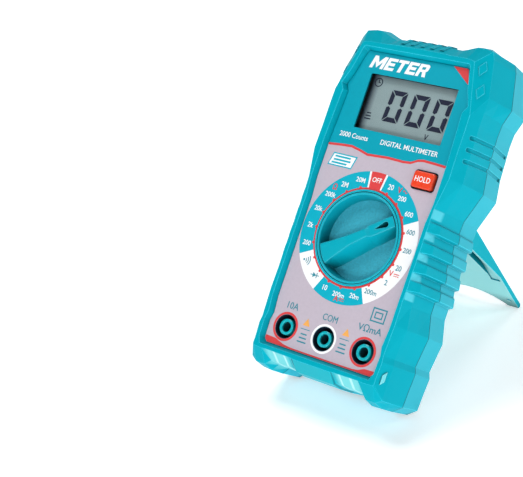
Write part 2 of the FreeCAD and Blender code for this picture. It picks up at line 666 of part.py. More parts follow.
def overload_thermistor():
    disc = Part.makeCylinder(4.2, 3.2, Vector(16.0, 23.0, PCB_LOW_Z - 5.4), Vector(0, 1, 0))
    leads = [rod(x, 24.6, 0.4, PCB_LOW_Z - 3.4, PCB_LOW_Z) for x in (14.0, 18.0)]
    return join(disc, leads)


def resistors():
    parts = []
    for i in range(RESISTOR_COUNT):
        x = -22.0 + RESISTOR_PITCH * i
        body = Part.makeCylinder(RESISTOR_R, 6.0, Vector(x, 40.0, PCB_LOW_Z - 1.5), Vector(0, 1, 0))
        lead = Part.makeCylinder(0.3, 9.6, Vector(x, 38.2, PCB_LOW_Z - 1.5), Vector(0, 1, 0))
        legs = [rod(x, y, 0.25, PCB_LOW_Z - 1.5, PCB_LOW_Z) for y in (38.7, 47.3)]
        parts.append(join(body, [lead] + legs))
    return group(parts)


def buzzer():
    case = rod(19.0, 80.0, 6.0, PCB_LOW_Z - 5.4, PCB_LOW_Z)
    return case.cut(rod(19.0, 80.0, 1.0, PCB_LOW_Z - 6.0, PCB_LOW_Z - 4.0))


# --- power ---
def battery():
    body = soft_slab(BATTERY_X0 + BATTERY_W / 2, BATTERY_Y, BATTERY_W, BATTERY_H, 2.0,
                     BATTERY_TOP_Z - BATTERY_D, BATTERY_TOP_Z)
    x_end = BATTERY_X0 + BATTERY_W
    z_mid = BATTERY_TOP_Z - BATTERY_D / 2
    terminals = [Part.makeCylinder(radius, 2.5, Vector(x_end, BATTERY_Y + side * 6.35, z_mid),
                                   Vector(1, 0, 0)) for radius, side in ((2.9, 1), (3.8, -1))]
    return join(body, terminals)


def battery_snap():
    x0 = BATTERY_X0 + BATTERY_W + 2.5
    z_mid = BATTERY_TOP_Z - BATTERY_D / 2
    cap = slab(x0, x0 + 2.6, BATTERY_Y - 12.0, BATTERY_Y + 12.0, z_mid - 6.0, z_mid + 6.0)
    edges = [edge for edge in cap.Edges if abs(edge.BoundBox.XLength - 2.6) < 1e-6]
    return cap.makeFillet(3.0, edges)


def battery_leads():
    """Two short leads from the snap to the board."""
    leads = []
    for side in (1, -1):
        y = BATTERY_Y + side * 3.0
        rise = rod(24.9, y, LEAD_R, -17.5, PCB_LOW_Z)
        run = Part.makeCylinder(LEAD_R, 1.3, Vector(23.6, y, -18.2), Vector(1, 0, 0))
        knee = Part.makeSphere(LEAD_R, Vector(24.9, y, -18.2))
        leads.append(join(run, [knee, rod(24.9, y, LEAD_R, -18.2, -17.4), rise]))
    return group(leads)


# --- fasteners ---
def screw(x, y, shank_r, head_r, head_z, head_h, tip_z):
    head = rod(x, y, head_r, head_z, head_z + head_h)
    shank = rod(x, y, shank_r, head_z + head_h, tip_z)
    slots = [slab(x - head_r * 0.7, x + head_r * 0.7, y - 0.25, y + 0.25, head_z - 1, head_z + head_h * 0.5),
             slab(x - 0.25, x + 0.25, y - head_r * 0.7, y + head_r * 0.7, head_z - 1, head_z + head_h * 0.5)]
    return join(head, [shank]).cut(slots)


def case_screws():
    return group([screw(x, y, CASE_SCREW_R, CASE_SCREW_HEAD_R, CASE_SCREW_HEAD_Z, 2.4, -9.0)
                  for x, y in case_screw_places()])


def pcb_screws():
    return group([screw(x, y, PCB_SCREW_R, PCB_SCREW_HEAD_R, PCB_LOW_Z - 1.4, 1.4, -5.5)
                  for x, y in pcb_screw_places()])


def battery_door_screw():
    return screw(0, DOOR_SCREW_Y, DOOR_SCREW_R, DOOR_SCREW_HEAD_R, BACK_Z, 1.0, -27.0)


# --- tilt stand ---
def stand_blank(s_points, x0, x1):
    """Extrudes a profile given as distance along the closed stand and height above its outer skin."""
    return side_plate([(HINGE_Y - s, BACK_Z + h) for s, h in s_points], x0, x1)


def tilt_stand():
    """Built closed, flat in its recess, then swung out to its stop."""
    end = STAND_LEN
    wedge = [(0, 0), (end - 0.8, 0), (end, 0.8), (end - 0.4, TIP_H), (TIP_S, TIP_H), (WEDGE_S, WEDGE_H),
             (WEDGE_S - 4, WEDGE_H), (2.6, 4.5), (0, 6.0)]
    stand = stand_blank(wedge, -STAND_HALF_W, STAND_HALF_W)
    stand = stand.fuse(cross_rod(HINGE_Y, HINGE_Z, KNUCKLE_R, -STAND_HALF_W, STAND_HALF_W))
    skin = 1.4
    hollow = [(WEDGE_S - 6, skin), (TIP_S + 3, skin), (TIP_S - 6, TIP_H - 0.1 + 0.5), (WEDGE_S, WEDGE_H - skin),
              (WEDGE_S - 6, WEDGE_H - skin)]
    inside = stand_blank(hollow, -BOX_HALF_W + FLANGE, BOX_HALF_W - FLANGE)
    mouth = stand_blank([(4.0, skin), (WEDGE_S - 5, skin), (WEDGE_S - 5, 9), (4.0, 9)],
                        -BOX_HALF_W + FLANGE, BOX_HALF_W - FLANGE)
    groove = stand_blank([(6.0, skin), (TIP_S + 4, skin), (TIP_S + 5, 9), (6.0, 9)],
                         BOX_HALF_W, STAND_HALF_W - FLANGE)
    stand = stand.cut([inside, mouth] + both_sides(groove))
    rise = end - ARCH_TOP_S
    arch_r = (ARCH_HALF_W ** 2 + rise ** 2) / (2 * rise)
    arch = rod(0, HINGE_Y - ARCH_TOP_S - arch_r, arch_r, BACK_Z - 1, BACK_Z + 9)
    stand = stand.cut(arch)
    pips = both_sides(rod(19.2, HINGE_Y - 69.0, 0.9, BACK_Z + TIP_H - 0.2, BACK_Z + TIP_H + 0.35))
    pins = both_sides(cross_rod(HINGE_Y, HINGE_Z, TRUNNION_R, STAND_HALF_W, TRUNNION_END))
    stand = join(stand, pips + pins)
    stand.rotate(Vector(0, HINGE_Y, HINGE_Z), Vector(1, 0, 0), OPEN_DEG)
    return stand


# --- assembly ---
def build():
    shapes = {
        "front_shell": front_shell(), "rear_shell": rear_shell(), "front_panel": front_panel(),
        "battery_door": battery_door(), "tilt_stand": tilt_stand(),
        "selector_knob": selector_knob(), "detent_balls": detent_balls(),
        "detent_springs": detent_springs(), "wiper_contacts": wiper_contacts(),
        "hold_button": hold_button(), "hold_switch_body": hold_switch_body(),
        "hold_switch_plunger": hold_switch_plunger(),
        "lcd_window": lcd_window(), "lcd_glass": lcd_glass(), "lcd_bezel": lcd_bezel(),
        "zebra_strips": zebra_strips(), "main_pcb": main_pcb(), "jack_block": jack_block(),
        "fuse_glass": fuse_glass(), "fuse_caps": fuse_caps(), "fuse_clips": fuse_clips(),
        "shunt_wire": shunt_wire(), "main_ic": main_ic(), "capacitor": capacitor(),
        "overload_thermistor": overload_thermistor(), "resistors": resistors(), "buzzer": buzzer(),
        "battery": battery(), "battery_snap": battery_snap(), "battery_leads": battery_leads(),
        "case_screws": case_screws(), "pcb_screws": pcb_screws(),
        "battery_door_screw": battery_door_screw(),
    }
    for name, x in zip(("left", "centre", "right"), jack_places()):
        shapes["jack_socket_" + name] = jack_socket(x)
    return shapes


def lean_angle(shapes):
    """How far the meter leans back from upright when its back edge and its stand touch the ground."""
    case_points = [v.Point for v in shapes["rear_shell"].Vertexes]
    stand_points = [v.Point for v in shapes["tilt_stand"].Vertexes]
    lean = 40.0
    for _ in range(30):
        up_y = math.cos(math.radians(lean))
        up_z = math.sin(math.radians(lean))
        heel = min(case_points, key=lambda p: p.y * up_y + p.z * up_z)
        foot = min(stand_points, key=lambda p: p.y * up_y + p.z * up_z)
        lean = math.degrees(math.atan2(foot.y - heel.y, heel.z - foot.z))
    return lean


def stand_up(shapes):
    lean = lean_angle(shapes)
    turn = Rotation(Vector(1, 0, 0), 90.0 - lean)
    placed = {}
    for name, shape in shapes.items():
        copy = shape.copy()
        copy.Placement = Placement(Vector(0, 0, 0), turn).multiply(copy.Placement)
        placed[name] = copy
    box = group(list(placed.values())).optimalBoundingBox(False, False)
    shift = Vector(0, -(box.YMin + box.YMax) / 2, -box.ZMin)
    for shape in placed.values():
        shape.translate(shift)
    hinge = turn.multVec(Vector(0, HINGE_Y, HINGE_Z)) + shift
    dial = turn.multVec(Vector(0, DIAL_Y, 0)) + shift
    print("lean %.4f shift %.4f %.4f" % (lean, shift.y, shift.z))
    print("hinge %.4f %.4f dial %.4f %.4f" % (hinge.y, hinge.z, dial.y, dial.z))
    print("size %.2f %.2f %.2f" % (box.XLength, box.YLength, box.ZLength))
    return placed


def main():
    os.makedirs("parts", exist_ok=True)
    for name, shape in stand_up(build()).items():
        shape.exportStep("parts/" + name + ".step")


main()
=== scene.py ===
import json
import math

import bmesh
import bpy
from mathutils import Matrix, Vector


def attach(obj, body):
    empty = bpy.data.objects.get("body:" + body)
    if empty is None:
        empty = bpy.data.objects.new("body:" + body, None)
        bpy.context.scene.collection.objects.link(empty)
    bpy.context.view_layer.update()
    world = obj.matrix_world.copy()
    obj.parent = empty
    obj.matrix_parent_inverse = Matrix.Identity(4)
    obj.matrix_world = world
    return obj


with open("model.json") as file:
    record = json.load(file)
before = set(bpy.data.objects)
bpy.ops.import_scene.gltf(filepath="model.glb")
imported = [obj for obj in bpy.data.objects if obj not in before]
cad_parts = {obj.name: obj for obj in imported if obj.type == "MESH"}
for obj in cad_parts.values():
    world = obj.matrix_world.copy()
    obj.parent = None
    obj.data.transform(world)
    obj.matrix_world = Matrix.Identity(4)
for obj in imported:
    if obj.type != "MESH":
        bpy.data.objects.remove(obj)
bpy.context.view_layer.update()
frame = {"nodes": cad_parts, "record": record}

# The meter's own frame, in millimetres: x across the face, y from the jacks to the
# display, z out of the face, with z = 0 on the printed panel. The dial's joint says where it is.
DIAL = Vector((0.0, 50.5, 0.0))
JOINTS = {joint["name"]: joint for joint in frame["record"]["behaviour"]["joints"]}
OUT = Vector(JOINTS["selector_turn"]["axis"]).normalized()
ACROSS = Vector((1.0, 0.0, 0.0))
ALONG = OUT.cross(ACROSS)
TURN = Matrix((ACROSS, ALONG, OUT)).transposed()
ORIGIN = Vector(JOINTS["selector_turn"]["pos_m"]) - TURN @ (DIAL / 1000.0)
LOCAL = Matrix.Translation(ORIGIN) @ TURN.to_4x4() @ Matrix.Scale(0.001, 4)

# The dial's click, and the places of the jacks, the HOLD key, the display, the parting line
# and the floor of the knob. The stand is open by STAND_OPEN_DEG at rest.
STEP_DEG = 18.0
JACKS = (("10a", -19.0), ("com", 0.0), ("volt", 19.0))
JACK_Y = 8.9
HOLD_X, HOLD_Y = 20.8, 78.4
LCD_X, LCD_Y, LCD_W, LCD_H = 1.6, 104.5, 41.4, 22.9
SEAM_Z = -17.0
KNOB_FLOOR_Z = -5.0
STAND_OPEN_DEG = JOINTS["stand_fold"]["range_deg"][1]

# The grip ribs on the sides: the y where the sloping front end of each valley between them
# begins and ends, which gets a painted highlight, the x and z that these ends lie outside and above,
# and the y of the small step behind each rib, which gets painted shade.
VALLEYS = ((32.4, 35.8), (40.2, 43.4), (48.2, 51.4), (56.4, 59.6), (64.6, 68.8))
VALLEY_X, VALLEY_Z = 30.15, -3.8
RIB_BACKS = (40.45, 47.85, 55.65, 63.65)

# The small slanted pads on the chamfers, whose faces get a painted highlight and painted shade, how far
# their faces are from these points at most, and a size that none of the faces reaches, in square metres.
LOW_PADS = ((31.0, 1.9, -0.4),)
HIGH_PADS = ((31.5, 116.6, -0.15), (29.3, 125.6, -0.2))
LOW_REACH, HIGH_REACH = 3.0, 3.6
PAD_AREA = 12e-6

# The lower end: where it begins, its half width, the line of painted shade round its raised plate,
# where its painted reflection fades in and out, and the streaks in that reflection. A streak is a
# middle, and how far from it the streak starts to fade and where it ends.
END_Y, END_HALF = -2.6, 24.0
PLATE_SHADE_LINE = ((9.7, 0.2, 0.5),)
REFLECTION_IN, REFLECTION_OUT = (10.8, 13.0), (22.0, 24.5)
REFLECTION_STREAKS = ((13.6, 0.21, 0.7), (18.9, 0.27, 0.9))

# The dial's print, with angles in degrees clockwise from the OFF mark. A red ring runs from
# RING_R to SCALE_IN and the scale from there to SCALE_OUT. The scale is red at the OFF mark,
# white in a gap on both sides of it, at the DC ranges and at the tests, and teal elsewhere.
RING_R, SCALE_IN, SCALE_OUT = 19.58, 20.4, 27.0
OFF_HALF_DEG, GAP_HALF_DEG = 7.4, 9.2
DC_START, DC_END, TEST_START, TEST_END = 62.8, 153.2, 206.8, 243.2
NUMBER_R, OFF_R, DIODE_R, TONE_R = 23.5, 23.7, 23.2, 23.6
DOT_R = 0.58
KNOB_HOLE_R, JACK_HOLE_R = 19.56, 4.95
JACK_RING_IN, JACK_RING_OUT = 4.97, 5.9

# What stands at each click, from OFF clockwise. The two empty ones have a sign.
SCALE = ["OFF", "20", "200", "600", "600", "200", "20", "2", "200m", "20m", "200m", "10", "", "", "200",
         "2k", "20k", "200k", "2M", "20M"]
TEAL_TEXT = (4, 5, 6, 7, 8)
DIODE_STEP, TONE_STEP = 12, 13

# Layers of print and their like, by the heights of their lower and upper faces: on the panel,
# on the display, the dark mask round it and the dark lining round the HOLD key, both painted shade, and on
# that key.
FIELD = (0.0, 0.05)
MARK = (0.05, 0.09)
OVER = (0.09, 0.13)
LETTER = (0.09, 0.15)
SEGMENT = (-2.58, -2.5)
SHADE_MASK = (-2.49, -2.42)
POCKET = (-2.3, 0.12)
KEY_LETTER = (1.61, 1.66)

# On the display: the middles of the three digits, and of the clock.
DIGITS_X, DIGITS_Y = (-5.0, 5.7, 16.4), 104.85
CLOCK_X, CLOCK_Y = -16.1, 113.3

# Edges sharper than CREASE_DEG stay crisp, and the light on them is that of a small radius, in
# metres. Lathed rings have RING_STEPS sides.
CREASE_DEG = 18.0
EDGE_RADIUS = 0.0005
RING_STEPS = 48

# The stage: a flat floor whose edge sweeps up, with radii in metres, and its light.
STAGE_SIDES, STAGE_RINGS = 96, 13
STAGE_FLAT_R, STAGE_SWEEP_R = 1.9, 1.4
STAGE_SWEEP_DEG = 80.0
FLOOR_ALBEDO, FLOOR_GLOW = 0.92, 0.42
WORLD_LIGHT = 0.08
MIDDLE = (0.0, 0.0, 0.06)
# Lamps: name, place, what it aims at, width and height, and watts.
LAMPS = (
    ("key", (-0.45, -0.1, 1.25), MIDDLE, (0.45, 0.45), 8.0),
    ("chamfer_right", (1.3, -1.0, 0.95), MIDDLE, (0.5, 0.5), 5.3),
    ("back_right", (0.9, 0.75, 0.6), MIDDLE, (0.4, 0.4), 3.0),
    ("top_back", (-0.1, 0.9, 1.0), MIDDLE, (0.4, 0.4), 3.0),
    ("low_front", (0.1, -0.9, 0.12), (0.0, -0.04, 0.03), (0.4, 0.2), 2.2),
    ("low_right", (0.7, -0.3, 0.1), (0.03, 0.04, 0.04), (0.3, 0.2), 0.9),
)
# The camera, in the meter's own frame: its place in millimetres, its right and its down.
CAMERA_SPOT = Vector((332.39, 1.61, 490.20))
CAMERA_RIGHT = Vector((0.7619, 0.3241, -0.5608))
CAMERA_DOWN = Vector((0.2219, -0.9440, -0.2441))
LENS_MM, SENSOR_MM = 104.72, 36.0


# --- materials ---
def linear(r, g, b):
    """A display colour from 0 to 255 as linear light."""
    def one(v):
        v /= 255.0
        return v / 12.92 if v <= 0.04045 else ((v + 0.055) / 1.055) ** 2.4
    return (one(r), one(g), one(b), 1.0)


def worn_and_highlit(color):
    """The paler colour laid on edges, partly as worn plastic and partly as a painted highlight."""
    return [min(1.0, c * 1.75 + 0.06) for c in color[:3]] + [1.0]


class Shader:
    """A procedural material with colour mottling, a fine grain, paler edges (partly worn, partly a painted
    highlight) and uneven gloss.
    """

    def __init__(self, name, color, rough=0.4, metal=0.0, mottle=0.06, mottle_size=0.012, grain=0.12,
                 grain_size=0.0004, wear_and_highlight=0.0, coat=0.0, specular=0.25, rough_spread=0.06):
        self.material = bpy.data.materials.new(name)
        self.material.use_nodes = True
        self.tree = self.material.node_tree
        self.tree.nodes.clear()
        self.out = self.node("ShaderNodeOutputMaterial")
        self.bsdf = self.node("ShaderNodeBsdfPrincipled")
        self.link(self.bsdf.outputs[0], self.out.inputs["Surface"])
        self.place = self.node("ShaderNodeTexCoord").outputs["Object"]
        self.bsdf.inputs["Metallic"].default_value = metal
        self.bsdf.inputs["Specular IOR Level"].default_value = specular
        self.bsdf.inputs["Coat Weight"].default_value = coat
        self.bsdf.inputs["Coat Roughness"].default_value = 0.12
        cloud = self.noise(1.0 / mottle_size, 3.0)
        darker = [c * (1 - mottle) for c in color[:3]] + [1.0]
        lighter = [min(1.0, c * (1 + mottle) + mottle * 0.01) for c in color[:3]] + [1.0]
        self.color = self.mix(cloud, darker, lighter)
        # Paler edges: partly worn plastic, partly a painted highlight.
        if wear_and_highlight:
            self.color = self.mix(self.scaled(self.edges(EDGE_RADIUS), wear_and_highlight), self.color, worn_and_highlit(color))
        self.link(self.color, self.bsdf.inputs["Base Color"])
        fine = self.noise(1.0 / grain_size, 2.0)
        gloss = self.ramp(self.noise(2.3 / mottle_size, 4.0), 0.3, 0.7, rough - rough_spread,
                          rough + rough_spread)
        self.link(gloss, self.bsdf.inputs["Roughness"])
        self.bump = self.node("ShaderNodeBump")
        self.bump.inputs["Strength"].default_value = grain
        self.bump.inputs["Distance"].default_value = grain_size * 0.25
        self.link(fine, self.bump.inputs["Height"])
        self.link(self.bump.outputs[0], self.bsdf.inputs["Normal"])

    def node(self, kind):
        return self.tree.nodes.new(kind)

    def link(self, start, end):
        self.tree.links.new(start, end)

    def noise(self, scale, detail):
        noise = self.node("ShaderNodeTexNoise")
        noise.inputs["Scale"].default_value = scale
        noise.inputs["Detail"].default_value = detail
        self.link(self.place, noise.inputs["Vector"])
        return noise.outputs["Fac"]

    def ramp(self, value, low, high, to_low=0.0, to_high=1.0):
        spread = self.node("ShaderNodeMapRange")
        for name, number in zip(("From Min", "From Max", "To Min", "To Max"), (low, high, to_low, to_high)):
            spread.inputs[name].default_value = number
        self.link(value, spread.inputs["Value"])
        return spread.outputs["Result"]

    def rounding(self, radius):
        bevel = self.node("ShaderNodeBevel")
        bevel.samples = 6
        bevel.inputs["Radius"].default_value = radius
        return bevel.outputs[0]

    def edges(self, radius):
        """One near the edges of the mesh, where a rounded normal leaves the true one."""
        dot = self.node("ShaderNodeVectorMath")
        dot.operation = "DOT_PRODUCT"
        self.link(self.rounding(radius), dot.inputs[0])
        self.link(self.node("ShaderNodeNewGeometry").outputs["Normal"], dot.inputs[1])
        return self.ramp(dot.outputs["Value"], 0.985, 0.91)

    def scaled(self, value, factor):
        return self.math("MULTIPLY", value, factor)

    def math(self, operation, first, second):
        node = self.node("ShaderNodeMath")
        node.operation = operation
        for socket, value in zip(node.inputs, (first, second)):
            if isinstance(value, (int, float)):
                socket.default_value = value
            else:
                self.link(value, socket)
        return node.outputs[0]

    def distance(self, value, middle):
        """How far a value is from a middle, either way."""
        return self.math("ABSOLUTE", self.math("SUBTRACT", value, middle), 0)

    def mix(self, factor, first, second):
        mix = self.node("ShaderNodeMix")
        mix.data_type = "RGBA"
        self.link(factor, mix.inputs["Factor"])
        for name, value in (("A", first), ("B", second)):
            socket = [s for s in mix.inputs if s.name == name and s.type == "RGBA"][0]
            if isinstance(value, (list, tuple)):
                socket.default_value = value
            else:
                self.link(value, socket)
        return [s for s in mix.outputs if s.type == "RGBA"][0]

    def along(self, direction, start):
        """How far a point is from a start point along a direction, in millimetres."""
        offset = self.node("ShaderNodeVectorMath")
        offset.operation = "SUBTRACT"
        self.link(self.place, offset.inputs[0])
        offset.inputs[1].default_value = start
        dot = self.node("ShaderNodeVectorMath")
        dot.operation = "DOT_PRODUCT"
        self.link(offset.outputs[0], dot.inputs[0])
        dot.inputs[1].default_value = direction * 1000.0
        return dot.outputs["Value"]

    def off_centre(self):
        """How far a point is from the meter's middle plane, in millimetres."""
        return self.math("ABSOLUTE", self.along(ACROSS, ORIGIN), 0)

    def stripes(self, value, places, strength):
        """The strongest of some stripes. Each place is a middle, and how far from it the
        stripe starts to fade and where it ends."""
        found = 0.0
        for middle, fade, end in places:
            stripe = self.ramp(self.distance(value, middle), fade, end, strength, 0.0)
            found = self.math("MAXIMUM", stripe, found)
        return found

    def paint(self, factor, color):
        """Lays another colour over the base where the factor is one."""
        self.color = self.mix(factor, self.color, color)
        self.link(self.color, self.bsdf.inputs["Base Color"])

    def crevices(self, reach, low, high):
        """Darkens grooves and inner corners, where less light gets in."""
        open_sky = self.node("ShaderNodeAmbientOcclusion")
        open_sky.samples = 8
        open_sky.inputs["Distance"].default_value = reach
        shade = self.ramp(open_sky.outputs["AO"], low, high)
        dark = self.node("ShaderNodeHueSaturation")
        dark.inputs["Value"].default_value = 0.3
        self.link(self.color, dark.inputs["Color"])
        self.color = self.mix(shade, dark.outputs[0], self.color)
        self.link(self.color, self.bsdf.inputs["Base Color"])

    def rounded(self, radius):
        """Softens the light on sharp edges, as a moulding's small radii do."""
        self.link(self.rounding(radius), self.bump.inputs["Normal"])


TEAL = linear(0, 168, 188)
TEAL_PRINT = linear(0, 162, 184)
SEAM_TEAL = linear(0, 52, 64)
RIB_SHADE = linear(0, 122, 140)
# A painted highlight for the sloping ends of the grip's valleys.
FACET_HIGHLIGHT_TEAL = linear(84, 202, 220)
NAVY = linear(20, 32, 48)
RED = linear(222, 70, 72)


def valley_end_highlights(shader):
    """The sloping front ends of the valleys between the ribs, on both sides, which get a painted highlight.
    """
    places = [((low + high) / 2, (high - low) / 2 - 0.5, (high - low) / 2) for low, high in VALLEYS]
    found = shader.stripes(shader.along(ALONG, ORIGIN), places, 1.0)
    outside = shader.ramp(shader.off_centre(), VALLEY_X, VALLEY_X + 0.1)
    front = shader.ramp(shader.along(OUT, ORIGIN), VALLEY_Z, VALLEY_Z + 1.6)
    return shader.math("MULTIPLY", shader.math("MULTIPLY", found, outside), front)


def rib_backs(shader):
    """The narrow steps behind the ribs, which lie in their shade."""
    places = [(middle, 0.2, 0.85) for middle in RIB_BACKS]
    found = shader.stripes(shader.along(ALONG, ORIGIN), places, 0.42)
    return shader.math("MULTIPLY", found, shader.ramp(shader.off_centre(), VALLEY_X, VALLEY_X + 0.4))


def shell_shader(name, color, seam_and_rib_shade=False, facet_highlights=False, depth=0.0035):
    """Moulded shell plastic: a fine grain, paler edges, partly worn and partly a painted highlight,
    painted shade in grooves, and where wanted the parting line, painted shade behind the ribs and a
    painted highlight on the sloping ends of the grip's valleys."""
    shader = Shader(name, color, rough=0.42, mottle=0.035, mottle_size=0.02, grain=0.16,
                    grain_size=0.00035, wear_and_highlight=0.9, specular=0.04)
    if seam_and_rib_shade:
        # Painted shade on the narrow steps behind the ribs.
        shader.paint(rib_backs(shader), RIB_SHADE)
        height = shader.along(OUT, LOCAL @ Vector((0, 0, SEAM_Z)))
        near = shader.math("ABSOLUTE", height, 0)
        shader.paint(shader.ramp(near, 0.1, 0.23, 1.0, 0.0), SEAM_TEAL)
    if facet_highlights:
        # Painted highlight on the sloping ends of the valleys.
        shader.paint(valley_end_highlights(shader), FACET_HIGHLIGHT_TEAL)
    shader.crevices(depth, 0.3, 0.85)
    shader.rounded(EDGE_RADIUS)
    return shader.material


def end_shader():
    """The lower end: a raised plate in the middle with painted shade along its outline, and a pale,
    streaked painted reflection on the slopes on both sides of it."""
    shader = Shader("end_teal", linear(10, 172, 188), rough=0.36, mottle=0.04, mottle_size=0.02,
                    grain=0.14, grain_size=0.00035, wear_and_highlight=0.9, specular=0.1)
    across = shader.off_centre()
    inside = shader.ramp(across, *REFLECTION_OUT, 1.0, 0.0)
    # A painted reflection beside the plate, and painted shade along the plate's outline.
    shader.paint(shader.math("MINIMUM", shader.ramp(across, *REFLECTION_IN), inside), linear(112, 208, 214))
    shader.paint(shader.stripes(across, REFLECTION_STREAKS, 0.6), linear(206, 240, 242))
    shader.paint(shader.stripes(across, PLATE_SHADE_LINE, 0.75), linear(0, 112, 128))
    shader.rounded(EDGE_RADIUS)
    return shader.material


def knob_shader():
    shader = Shader("knob_teal", linear(0, 170, 190), rough=0.34, mottle=0.04, mottle_size=0.01,
                    grain=0.08, grain_size=0.0003, wear_and_highlight=0.6, coat=0.05, specular=0.2)
    shader.crevices(0.009, 0.3, 0.95)
    shader.rounded(0.0011)
    return shader.material


def knob_floor_shader():
    """The coarse, dull texture of the knob's floor."""
    shader = Shader("knob_floor", linear(60, 176, 198), rough=0.66, mottle=0.26, mottle_size=0.0008,
                    grain=1.0, grain_size=0.0006, rough_spread=0.1)
    return shader.material


def print_shader(name, color, rough=0.42, speckle=0.05):
    return Shader(name, color, rough=rough, mottle=speckle, mottle_size=0.0011, grain=0.1,
                  grain_size=0.0003).material


def lcd_shader():
    """The display's grey, in the shade of the window's left and upper edges."""
    shader = Shader("lcd_face", linear(156, 171, 174), rough=0.32, mottle=0.03, mottle_size=0.004,
                    grain=0.12, grain_size=0.0005)
    edge = shader.along(ACROSS, LOCAL @ Vector((LCD_X - LCD_W / 2, LCD_Y, 0)))
    shader.paint(shader.ramp(edge, 0.6, 4.0, 0.95, 0.0), linear(48, 54, 70))
    top = shader.along(-ALONG, LOCAL @ Vector((LCD_X, LCD_Y + LCD_H / 2, 0)))
    shader.paint(shader.ramp(top, 0.2, 1.6, 0.35, 0.0), linear(70, 76, 88))
    return shader.material


def clear_shader(name, tint, gloss):
    """Clear plastic: light passes straight through, with a glossy skin."""
    material = bpy.data.materials.new(name)
    material.use_nodes = True
    tree = material.node_tree
    tree.nodes.clear()
    out = tree.nodes.new("ShaderNodeOutputMaterial")
    mix = tree.nodes.new("ShaderNodeMixShader")
    clear = tree.nodes.new("ShaderNodeBsdfTransparent")
    skin = tree.nodes.new("ShaderNodeBsdfGlossy")
    weight = tree.nodes.new("ShaderNodeLayerWeight")
    haze = tree.nodes.new("ShaderNodeTexNoise")
    spread = tree.nodes.new("ShaderNodeMapRange")
    place = tree.nodes.new("ShaderNodeTexCoord")
    share = tree.nodes.new("ShaderNodeMath")
    clear.inputs["Color"].default_value = tint
    haze.inputs["Scale"].default_value = 260.0
    haze.inputs["Detail"].default_value = 4.0
    spread.inputs["To Min"].default_value = 0.06
    spread.inputs["To Max"].default_value = 0.2
    weight.inputs["Blend"].default_value = 0.12
    share.operation = "MULTIPLY"
    share.inputs[1].default_value = gloss
    for start, end in ((place.outputs["Object"], haze.inputs["Vector"]),
                       (haze.outputs["Fac"], spread.inputs[0]),
                       (spread.outputs[0], skin.inputs["Roughness"]),
                       (weight.outputs["Fresnel"], share.inputs[0]),
                       (share.outputs[0], mix.inputs[0]),
                       (clear.outputs[0], mix.inputs[1]),
                       (skin.outputs[0], mix.inputs[2]),
                       (mix.outputs[0], out.inputs["Surface"])):
        tree.links.new(start, end)
    return material


SHELL = shell_shader("shell_teal", TEAL, seam_and_rib_shade=True, facet_highlights=True)
# The rear shell is painted paler than the front, as painted light from behind and the right.
REAR_LIT_TEAL = shell_shader("rear_lit_teal", linear(54, 182, 202), seam_and_rib_shade=True)
# A painted highlight and painted shade for the faces of the pads.
PAD_HIGHLIGHT_TEAL = shell_shader("pad_highlight_teal", linear(120, 216, 228))
SHADE = shell_shader("shaded_teal", linear(0, 128, 146))
END = end_shader()
STAND = shell_shader("stand_teal", linear(0, 174, 192), depth=0.009)
# A painted sheen for the inner faces of the open stand.
STAND_INNER_SHEEN = shell_shader("stand_inner_sheen_teal", linear(164, 226, 226), depth=0.009)
DOOR = shell_shader("door_teal", linear(40, 176, 196))
KNOB = knob_shader()
KNOB_FLOOR = knob_floor_shader()
PANEL_TEAL = print_shader("print_teal_field", TEAL_PRINT, 0.38, 0.03)
PANEL_LILAC = print_shader("print_lilac_field", linear(194, 184, 197), 0.5, 0.06)
PRINT_WHITE = print_shader("print_white", linear(250, 251, 253), 0.5, 0.01)
PRINT_RED = print_shader("print_red", RED, 0.45, 0.04)
PRINT_TEAL = print_shader("print_teal", linear(0, 176, 200), 0.45, 0.04)
PRINT_INK = print_shader("print_ink", linear(48, 142, 160), 0.45, 0.05)
PRINT_AMBER = print_shader("print_amber", linear(244, 176, 92), 0.5, 0.05)
LCD_INK = print_shader("lcd_segments", linear(44, 46, 66), 0.35, 0.05)
LCD_FACE = lcd_shader()
WINDOW = clear_shader("window_clear", (0.97, 0.99, 0.99, 1), 0.55)
RED_KEY = Shader("key_red", linear(238, 72, 42), rough=0.3, mottle=0.04, mottle_size=0.004, grain=0.1,
                 wear_and_highlight=0.35, coat=0.2).material
# Dark linings that stand in for the shade in the jack wells and round the HOLD key.
SHADE_LINING = Shader("shade_lining_navy", NAVY, rough=0.45, mottle=0.12, mottle_size=0.002, grain=0.2).material
BLACK = Shader("black_plastic", linear(24, 25, 28), rough=0.5, mottle=0.15, mottle_size=0.003).material
POST = Shader("post_teal", linear(8, 178, 190), rough=0.25, mottle=0.05, mottle_size=0.003, grain=0.06,
              wear_and_highlight=0.8, coat=0.4).material
SOCKET = Shader("socket_metal", linear(30, 92, 104), rough=0.4, metal=0.5, mottle=0.2, mottle_size=0.002,
                grain=0.1).material
BRONZE = Shader("bronze_spring", linear(196, 150, 92), rough=0.32, metal=1.0, mottle=0.12,
                mottle_size=0.002).material
STEEL = Shader("screw_steel", linear(150, 152, 158), rough=0.34, metal=1.0, mottle=0.12, mottle_size=0.002,
               grain=0.2).material
NICKEL = Shader("nickel_plate", linear(205, 205, 208), rough=0.16, metal=1.0, mottle=0.06,
                mottle_size=0.002).material
RUBBER = Shader("zebra_rubber", linear(44, 44, 48), rough=0.7, mottle=0.3, mottle_size=0.0006).material
BOARD = Shader("board_mask", linear(24, 96, 52), rough=0.33, mottle=0.16, mottle_size=0.003, grain=0.25,
               coat=0.2).material
RESISTOR = Shader("resistor_lacquer", linear(214, 186, 142), rough=0.4, mottle=0.1,
                  mottle_size=0.002).material
THERMISTOR = Shader("thermistor_lacquer", linear(204, 110, 32), rough=0.35, mottle=0.12,
                    mottle_size=0.002).material
